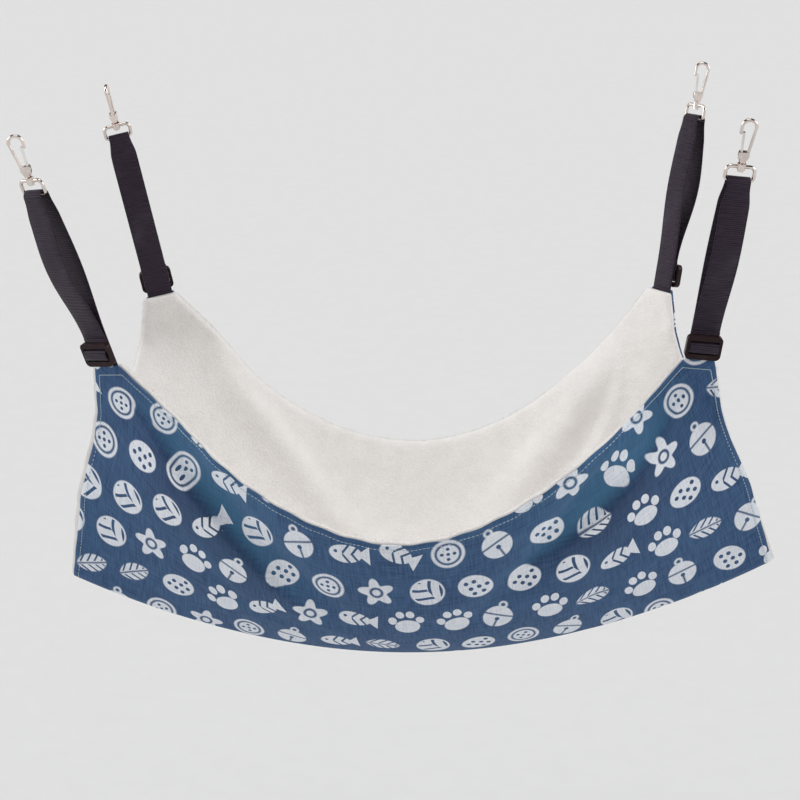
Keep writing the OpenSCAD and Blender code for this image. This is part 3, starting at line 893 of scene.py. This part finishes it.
# %% Topstitching
STITCH_INSET, STITCH_PITCH, STITCH_LEN, THREAD_R = 4.6 * MM, 3.3 * MM, 2.8 * MM, 0.33 * MM
RINGS, RING_POINTS = 5, 6
THIN_SHARE, SINK_SHARE = 0.85, 0.4
TWIST_SCALE = 1500.0
DARK_THREAD, PALE_THREAD = (0.3, 0.42, 0.5), (0.56, 0.66, 0.7)


def thread_finish():
    f = new_finish("thread")
    twist = f.noise(f.place(), TWIST_SCALE, 2.0)
    colour = f.blend(f.band(twist, 0.3, 0.7), DARK_THREAD, PALE_THREAD)
    return f.set(Base_Color=colour, Roughness=0.7, Sheen_Weight=0.2)


def stitch_row(name, places, ways, lift, material):
    """Stitches along flat places, their length square to the outward ways."""
    point, normal, out, along = cloth_ways(places, ways)
    t = np.linspace(-1, 1, RINGS)
    turn = np.linspace(0, 2 * math.pi, RING_POINTS, endpoint=False)
    bow = (1 - t**2)[None, :, None, None]
    radius = THREAD_R * np.sqrt(np.maximum(1 - THIN_SHARE * t**4, 0))[None, :, None, None]
    centre = point[:, None, None] + along[:, None, None] * (t * STITCH_LEN / 2)[None, :, None, None]
    centre = centre - normal[:, None, None] * (lift[:, None, None, None] + THREAD_R * (bow - SINK_SHARE))
    ring = out[:, None, None] * np.cos(turn)[None, None, :, None]
    ring = ring + normal[:, None, None] * np.sin(turn)[None, None, :, None]
    points = (centre + ring * radius).reshape(-1, 3)
    faces = []
    for s in range(len(places)):
        base = s * RINGS * RING_POINTS
        for r in range(RINGS - 1):
            for k in range(RING_POINTS):
                a, b = base + r * RING_POINTS + k, base + r * RING_POINTS + (k + 1) % RING_POINTS
                faces.append((a, b, b + RING_POINTS, a + RING_POINTS))
    return new_object(name, points, faces, None, material)


thread = thread_finish()
places, ways = edge_line(STITCH_INSET, STITCH_INSET, STITCH_PITCH)
lift = half_space(*places.T) + OUTER_T
stitches = stitch_row("topstitch", places, ways, lift, thread)
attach(stitches, "panel")
print("stitches", len(places))

# %% [markdown]
# ## Webbing
# The straps are black webbing, woven across in fine ribs with firmer edges and a faint purple shine.
# Ribs could be modelled, but at this pitch sums of sines in colour and bump look the same; the colour
# paints light on the rib crests.

# %% Webbing finish
RIB_PITCH, END_PITCH, RIB_DEPTH = 1.5 * MM, 0.9 * MM, 0.2 * MM
STREAK_LONG, STREAK_SHORT, WEAR_AND_SHIMMER_SCALE = 60.0, 900.0, 24.0
SELVEDGE_START, SELVEDGE_END = WEB_W * 0.43, WEB_W * 0.46
# The rib colour is painted light on the rib crests.
BLACK_YARN, GREY_YARN, PAINTED_RIB_CREST_LIGHT = (0.009, 0.0045, 0.009), (0.03, 0.019, 0.032), (0.06, 0.047, 0.068)
# The worn colour is partly real wear and partly a painted shimmer in broad patches.
WORN_AND_SHIMMER_YARN, SELVEDGE_YARN = (0.085, 0.075, 0.105), (0.014, 0.008, 0.015)
PURPLE_SHINE = (0.9, 0.76, 1.0)


def webbing_finish():
    f = new_finish("webbing")
    uv, u, v = f.flat()
    ribs = (v * (2 * math.pi / RIB_PITCH)).math("SINE")
    ends = (u * (2 * math.pi / END_PITCH)).math("SINE")
    streak_at = f.node("ShaderNodeCombineXYZ", None, (u * STREAK_LONG, v * STREAK_SHORT, 0.0))
    streak = f.noise(streak_at, 1.0, 3.0)
    # Broad patches that are partly real wear and partly painted shimmer: lighter, purpler and rougher.
    wear_and_shimmer = f.noise(uv, WEAR_AND_SHIMMER_SCALE, 2.0)
    selvedge = f.band(abs(u), SELVEDGE_START, SELVEDGE_END)
    dark = f.blend(f.band(streak, 0.3, 0.7), BLACK_YARN, GREY_YARN)
    # Painted light: the rib crests are painted lighter than the hollows between them.
    dark = f.blend(f.band(ribs, 0.2, 1.0) * 0.5, dark, PAINTED_RIB_CREST_LIGHT)
    colour = f.blend(f.band(wear_and_shimmer, 0.5, 0.75) * 0.5, dark, WORN_AND_SHIMMER_YARN)
    colour = f.blend(selvedge * 0.5, colour, SELVEDGE_YARN)
    rough = 0.36 - ribs * 0.07 + wear_and_shimmer * 0.12
    normal = f.bump(ribs + ends * 0.3 + streak * 0.6, RIB_DEPTH, 0.7)
    f.set(Specular_IOR_Level=0.25, Specular_Tint=PURPLE_SHINE, Sheen_Weight=0.12, Sheen_Roughness=0.35)
    return f.set(Base_Color=colour, Roughness=rough, Normal=normal)


webbing = webbing_finish()
print("webbing nodes", len(webbing.node_tree.nodes))

# %% [markdown]
# ## A sweep for webbing
# Webbing is flat and stiff, with rounded edges, and is squeezed narrower where it turns over the eye.
# A curve with a bevel shape would twist and could not narrow, so the section is swept along a path.

# %% Webbing sweep
STRAP_LEN, EYE_D = 150 * MM, 2.8 * MM
BIGHT_R = 4 * MM
BIGHT_MID = BIGHT_R + WEB_T / 2
BIGHT_Z = STRAP_LEN - (BIGHT_R - EYE_D / 2 - WEB_FIT)
TURN_W, TAPER_LEN = 17.5 * MM, 18 * MM
EDGE_ROUND, EDGE_STEPS = WEB_T / 2, 5


def webbing_stretch(name, strap, path, spread=1.0):
    """Webbing swept along a path of (y, z) in a strap's frame, squeezed narrower towards the eye."""
    path = np.asarray(path, float)
    narrow = mix(spread, TURN_W / WEB_W, smooth((path[:, 1] - BIGHT_Z) / TAPER_LEN + 1))
    way = np.gradient(path, axis=0)
    way /= np.linalg.norm(way, axis=1, keepdims=True)
    lift = np.stack([-way[:, 1], way[:, 0]], -1)
    turn = np.linspace(-math.pi / 2, math.pi / 2, EDGE_STEPS)
    right = [(WEB_W / 2 - EDGE_ROUND + EDGE_ROUND * math.cos(a), EDGE_ROUND * math.sin(a)) for a in turn]
    left = [(-x, -n) for x, n in right]
    inner_side = [(x, WEB_T / 2) for x in (WEB_W / 6, -WEB_W / 6)]
    outer_side = [(x, -WEB_T / 2) for x in (-WEB_W / 6, WEB_W / 6)]
    x, n = np.array(right + inner_side + left + outer_side).T
    ring = len(x)
    y = path[:, None, 0] + lift[:, None, 0] * n
    z = path[:, None, 1] + lift[:, None, 1] * n
    points = strap.at(narrow[:, None] * x, y, z).reshape(-1, 3)
    length = np.concatenate([[0], np.cumsum(np.linalg.norm(np.diff(path, axis=0), axis=1))])
    uvs = np.stack(np.broadcast_arrays(x[None, :], length[:, None]), -1).reshape(-1, 2)
    faces = []
    for i in range(len(path) - 1):
        for k in range(ring):
            a, b = i * ring + k, i * ring + (k + 1) % ring
            faces.append((a, b, b + ring, a + ring))
    last = (len(path) - 1) * ring
    faces += [tuple(range(ring))[::-1], tuple(last + k for k in range(ring))]
    obj = new_object(name, points, faces, {"flat": uvs}, webbing)
    return obj


print("top of the webbing's run", round(BIGHT_Z, 4))

# %% [markdown]
# ## The way of the webbing
# From the eye the webbing comes back down, bows outwards and wraps the slider's centre bar.
# It could be simulated as a strip, but its way through the slider is known, so the path is drawn.

# %% Webbing paths
SLIDER_H, SLIDER_T, SLIDER_GAP = 20 * MM, 4.2 * MM, 2.5 * MM
SLIDER_BAR, SLIDER_MID, SLIDER_MID_T = 4.4 * MM, 3.2 * MM, 1.6 * MM
SLIDER_Z = SLIDER_GAP + SLIDER_H / 2
TAIL_Y = -(WEB_T + WEB_FIT)
RETURN_Y = 2 * TAIL_Y
SLIDER_Y = RETURN_Y - WEB_T / 2 - WEB_FIT - SLIDER_T / 2
WRAP_R = SLIDER_MID_T / 2 + 2 * (WEB_T + WEB_FIT)
RETURN_BOW, TAIL_LEN = 7 * MM, 14 * MM
ENTRY_Z = SLIDER_Z + SLIDER_H / 2 + 2 * WEB_T
UNDER_Z = SLIDER_Z - SLIDER_H / 2 + SLIDER_BAR + WEB_T + WRAP_R
RUN_STEPS, TURN_STEPS = 60, 24
BEND_SHARE = 0.4


def half_turn(centre, radius, start, end, steps):
    """Points of an arc in (y, z), angles in degrees from the outward side over the top."""
    angles = np.radians(np.linspace(start, end, steps))
    return [(centre[0] - radius * math.cos(a), centre[1] + radius * math.sin(a)) for a in angles]


def return_path():
    """From the eye down to the slider, bowing outwards."""
    t = np.linspace(0, 1, RUN_STEPS)
    y = mix(-2 * BIGHT_MID, RETURN_Y, smooth(t)) - RETURN_BOW * np.sin(math.pi * t) ** 2
    return np.stack([y, mix(BIGHT_Z - WEB_FIT, ENTRY_Z, t)], -1)


def rounded_path(corners, steps=6):
    """A path through corners, each bend rounded off."""
    path = [corners[0]]
    for before, corner, after in zip(corners, corners[1:], corners[2:]):
        before, corner, after = (np.array(p) for p in (before, corner, after))
        start, end = mix(corner, before, BEND_SHARE), mix(corner, after, BEND_SHARE)
        for t in np.linspace(0, 1, steps):
            path.append(tuple(mix(mix(start, corner, t), mix(corner, end, t), t)))
    return path + [corners[-1]]


def wrap_path():
    """Behind the slider's top bar, over its centre bar, under it and up to the sewn tail."""
    over = [(RETURN_Y, ENTRY_Z), (RETURN_Y, SLIDER_Z + SLIDER_H / 2 - SLIDER_BAR - WEB_T)]
    over += [(SLIDER_Y - WRAP_R, SLIDER_Z + SLIDER_MID), (SLIDER_Y - WRAP_R, UNDER_Z)]
    back = [(SLIDER_Y + WRAP_R, UNDER_Z), (SLIDER_Y + WRAP_R, SLIDER_Z + SLIDER_MID / 4)]
    back += [(TAIL_Y, SLIDER_Z + SLIDER_H / 2 - 1.5 * SLIDER_BAR), (TAIL_Y, SLIDER_Z + TAIL_LEN)]
    turn = half_turn((SLIDER_Y, UNDER_Z), WRAP_R, 0, -180, TURN_STEPS)
    return rounded_path(over) + turn[1:-1] + rounded_path(back)


print("slider entry at", round(ENTRY_Z, 4), "wrap points", len(wrap_path()))

# %% [markdown]
# ## The four straps
# Each strap is one length of webbing, but parts of it move apart when the slider slides or the strap folds.
# One mesh would tear there, so it is cut into sewn tab, run, turn over the eye, return and slider wrap.
# The tab goes with the panel, the run stays where it is made, the turn goes with the bight, and return and
# wrap go with the slider.

# %% Straps
TAB_LEN, TAB_STEPS = 16 * MM, 8
RUN_BOW = 3 * MM
WRAP_SPREAD = 1.03

for corner, strap in straps.items():
    tab_path = [(0, -TAB_LEN * (1 - t)) for t in np.linspace(0, 1, TAB_STEPS)]
    tab = webbing_stretch(f"{corner}_sewn_tab", strap, tab_path)
    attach(tab, "panel")
    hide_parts(f"{corner}_corner_tab")
    run_z = np.linspace(WEB_FIT, BIGHT_Z, RUN_STEPS)
    slack = np.clip((run_z - ENTRY_Z) / (BIGHT_Z - ENTRY_Z), 0, 1)
    run_y = RUN_BOW * np.sin(math.pi * slack) ** 2
    run = webbing_stretch(f"{corner}_run", strap, np.stack([run_y, run_z], -1))
    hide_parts(f"{corner}_strap_run")
    start, end = strap.at(0, 0, ENTRY_Z), strap.at(0, 0, BIGHT_Z)
    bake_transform(run)
    turn = half_turn((-BIGHT_MID, BIGHT_Z), BIGHT_MID, 180, 0, TURN_STEPS)
    bight = webbing_stretch(f"{corner}_turn", strap, turn)
    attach(bight, f"{corner}_bight")
    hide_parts(f"{corner}_strap_bight")
    loop = webbing_stretch(f"{corner}_return", strap, return_path())
    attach(loop, f"{corner}_slider")
    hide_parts(f"{corner}_strap_return")
    travel = joints[f"{corner}_slider_slide"]["range_m"][1]
    keep = 1 - travel / 2 / (BIGHT_Z - ENTRY_Z)
    strap.at(0, 0, ENTRY_Z)
    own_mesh(loop)
    wrap = webbing_stretch(f"{corner}_wrap", strap, wrap_path(), WRAP_SPREAD)
    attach(wrap, f"{corner}_slider")
    print(corner, "webbing", len(run.data.vertices), "keep", round(keep, 3))

# %% [markdown]
# ## Hardware finishes
# Sliders are moulded plastic, hooks and eyes are plated in a warm nickel, and gates are bright strip.
# Plain colours would make the solids look like plastic blocks, so each finish has its own grain.

# %% Hardware finishes
CAST_SCALE, SMUDGE_SCALE, CAST_DEPTH = 260.0, 60.0, 0.05 * MM
GRAIN_SCALE, SCUFF_SCALE, GRAIN_DEPTH = 900.0, 120.0, 0.04 * MM
SMUDGE_SHARE = 0.8
WARM_BLACK, SCUFFED_BLACK, WARM_SHINE = (0.02, 0.011, 0.012), (0.042, 0.027, 0.028), (1.0, 0.8, 0.8)


def warm_nickel(name, colour, rough, brush):
    f = new_finish(name)
    where = f.place()
    cast = f.noise(where, CAST_SCALE, 3.0)
    smudge = f.noise(where, SMUDGE_SCALE, 2.0)
    tint = f.blend(f.band(smudge, 0.35, 0.7), colour, tuple(c * SMUDGE_SHARE for c in colour))
    shine = rough + f.band(cast, 0.3, 0.8) * brush
    normal = f.bump(cast, CAST_DEPTH, 0.35)
    return f.set(Base_Color=tint, Metallic=1.0, Roughness=shine, Normal=normal)


def moulded_plastic():
    f = new_finish("slider_plastic")
    where = f.place()
    grain = f.noise(where, GRAIN_SCALE, 3.0)
    scuff = f.noise(where, SCUFF_SCALE, 3.0)
    colour = f.blend(f.band(scuff, 0.5, 0.8) * 0.5, WARM_BLACK, SCUFFED_BLACK)
    normal = f.bump(grain, GRAIN_DEPTH, 0.5)
    f.set(Specular_IOR_Level=0.15, Specular_Tint=WARM_SHINE)
    return f.set(Base_Color=colour, Roughness=0.16 + scuff * 0.15, Normal=normal)


nickel = warm_nickel("nickel", (0.82, 0.73, 0.68), 0.05, 0.1)
strip = warm_nickel("bright_steel", (0.88, 0.85, 0.82), 0.06, 0.1)
spring_wire = warm_nickel("spring_steel", (0.42, 0.41, 0.40), 0.3, 0.1)
plastic = moulded_plastic()
print("finishes", [material.name for material in (nickel, strip, spring_wire, plastic)])

# %% [markdown]
# ## Dressing the hardware
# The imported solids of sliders, eyes, hooks and gates already have the right shape, so they stay.
# Real castings and mouldings have no knife edges, and a bevel on sharp edges only softens them.

# %% Hardware
EDGE_BEVEL, MOULD_BEVEL, BEVEL_STEPS = 0.3 * MM, 0.8 * MM, 3
SHARP_ANGLE = math.radians(32)
HARDWARE = {
    "slider": ("slider_plastic", plastic, MOULD_BEVEL),
    "swivel_eye": ("nickel", nickel, EDGE_BEVEL),
    "snap_hook": ("nickel", nickel, EDGE_BEVEL),
    "hook_gate": ("bright_steel", strip, EDGE_BEVEL),
    "gate_pin": ("bright_steel", strip, EDGE_BEVEL),
    "gate_spring": ("spring_steel", spring_wire, EDGE_BEVEL),
}


def dress_solid(obj, material, soften):
    """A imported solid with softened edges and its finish."""
    obj.data.materials.clear()
    obj.data.materials.append(material)
    obj.data.polygons.foreach_set("use_smooth", [True] * len(obj.data.polygons))
    bevel = obj.modifiers.new("soft_edges", "BEVEL")
    bevel.width, bevel.segments = soften, BEVEL_STEPS
    bevel.limit_method, bevel.angle_limit = "ANGLE", SHARP_ANGLE
    bevel.harden_normals = True


for corner in CORNERS:
    for piece, (slot, material, soften) in HARDWARE.items():
        dress_solid(frame["nodes"][f"{corner}_{piece}"], material, soften)
print("dressed solids", len(CORNERS) * len(HARDWARE))

# %% [markdown]
# ## Light
# Soft light is what a tent studio gives: a pale surround, a broad lamp above and a paler one at each side.
# Near lamps would leave bright pools on the floor, so suns with wide discs and an even surround are used.
# Camera and metal see the same room. Its ceiling is dark, or the metal would look like white plastic.

# %% Light
GROUND = (0.755, 0.755, 0.755)
SUNS = {
    # where the light comes from, its power and the width of its disc
    "key_sun": ((-0.05, -0.15, 0.98), 1.05, 45),
    "left_sun": ((-1.0, 0.0, 0.45), 1.15, 40),
    "right_sun": ((1.0, -0.1, 0.45), 1.0, 40),
}
SURROUND, CEILING = (0.46, 0.46, 0.46), (0.05, 0.04, 0.035)
CEILING_SHARES = (0.2, 0.5)

on_floor = SURROUND[0]
for name, (come_from, power, width) in SUNS.items():
    data = bpy.data.lights.new(name, "SUN")
    data.energy, data.angle = power, math.radians(width)
    sun = bpy.data.objects.new(name, data)
    sun.rotation_euler = (-Vector(come_from)).to_track_quat("-Z", "Y").to_euler()
    bpy.context.scene.collection.objects.link(sun)
    on_floor += power / math.pi * Vector(come_from).normalized().z

studio = Finish(bpy.data.worlds.new("studio"), "Background")
bpy.context.scene.world = studio.owner
rays = ("Is Camera Ray", "Is Glossy Ray")
seen, shiny = (studio.node("ShaderNodeLightPath", None, (), ray) for ray in rays)
way = studio.node("ShaderNodeTexCoord", None, (), "Generated")
rise = studio.node("ShaderNodeSeparateXYZ", None, (way,), 2)
room = studio.blend(studio.band(rise, *CEILING_SHARES), GROUND, CEILING)
sky = studio.blend(seen.math("MAXIMUM", shiny), SURROUND, room)
studio.set(Color=sky, Strength=1.0)
print("light on the floor", round(on_floor, 3))

# %% [markdown]
# ## Floor
# The photo has a plain pale grey ground with no edges.
# A large floor well below the hammock keeps its shadow soft and faint, and fills the view.
# Its tone is divided by the light that falls on it, so that it meets the background without a line.

# %% Stage
FLOOR_DROP, FLOOR_HALF = 0.42, 16.0
SPECK_SCALE, SPECK_SHARE = 30.0, 0.985

floor_z = cad_box[0][2] - FLOOR_DROP
ground = new_finish("ground")
speck = ground.noise(ground.place(), SPECK_SCALE, 2.0)
lit = tuple(c / on_floor for c in GROUND)
tone = ground.blend(ground.band(speck, 0.3, 0.7), lit, tuple(c * SPECK_SHARE for c in lit))
ground.set(Base_Color=tone, Roughness=0.9, Specular_IOR_Level=0.0)
corners = [(x * FLOOR_HALF, y * FLOOR_HALF, floor_z) for x, y in ((-1, -1), (1, -1), (1, 1), (-1, 1))]
floor = new_object("floor", corners, [(0, 1, 2, 3)], None, ground.owner)
print("floor at", round(floor_z, 3))

# %% [markdown]
# ## Camera
# The camera stands where the photo was taken from, a little above the hammock and almost straight on.
# It could be set by eye, but the places of the four corners and the four hooks fix it closely.

# %% Camera
CAMERA_AT = (0.06317, -1.57456, 0.27588)
CAMERA_PITCH, CAMERA_TURN, CAMERA_ROLL = math.radians(18.3), math.radians(2.339), math.radians(-1.271)
HALF_VIEW_SHARE = 0.2

camera_data = bpy.data.cameras.new("photo_camera")
camera_data.sensor_fit = "HORIZONTAL"
camera_data.angle = 2 * math.atan(HALF_VIEW_SHARE)
camera = bpy.data.objects.new("photo_camera", camera_data)
aim = Matrix.Rotation(CAMERA_TURN, 4, "Z") @ Matrix.Rotation(math.pi / 2 - CAMERA_PITCH, 4, "X")
camera.matrix_world = Matrix.Translation(CAMERA_AT) @ aim @ Matrix.Rotation(CAMERA_ROLL, 4, "Z")
bpy.context.scene.collection.objects.link(camera)
bpy.context.scene.camera = camera
bpy.context.scene.view_settings.view_transform = "Standard"
print("camera at", CAMERA_AT)
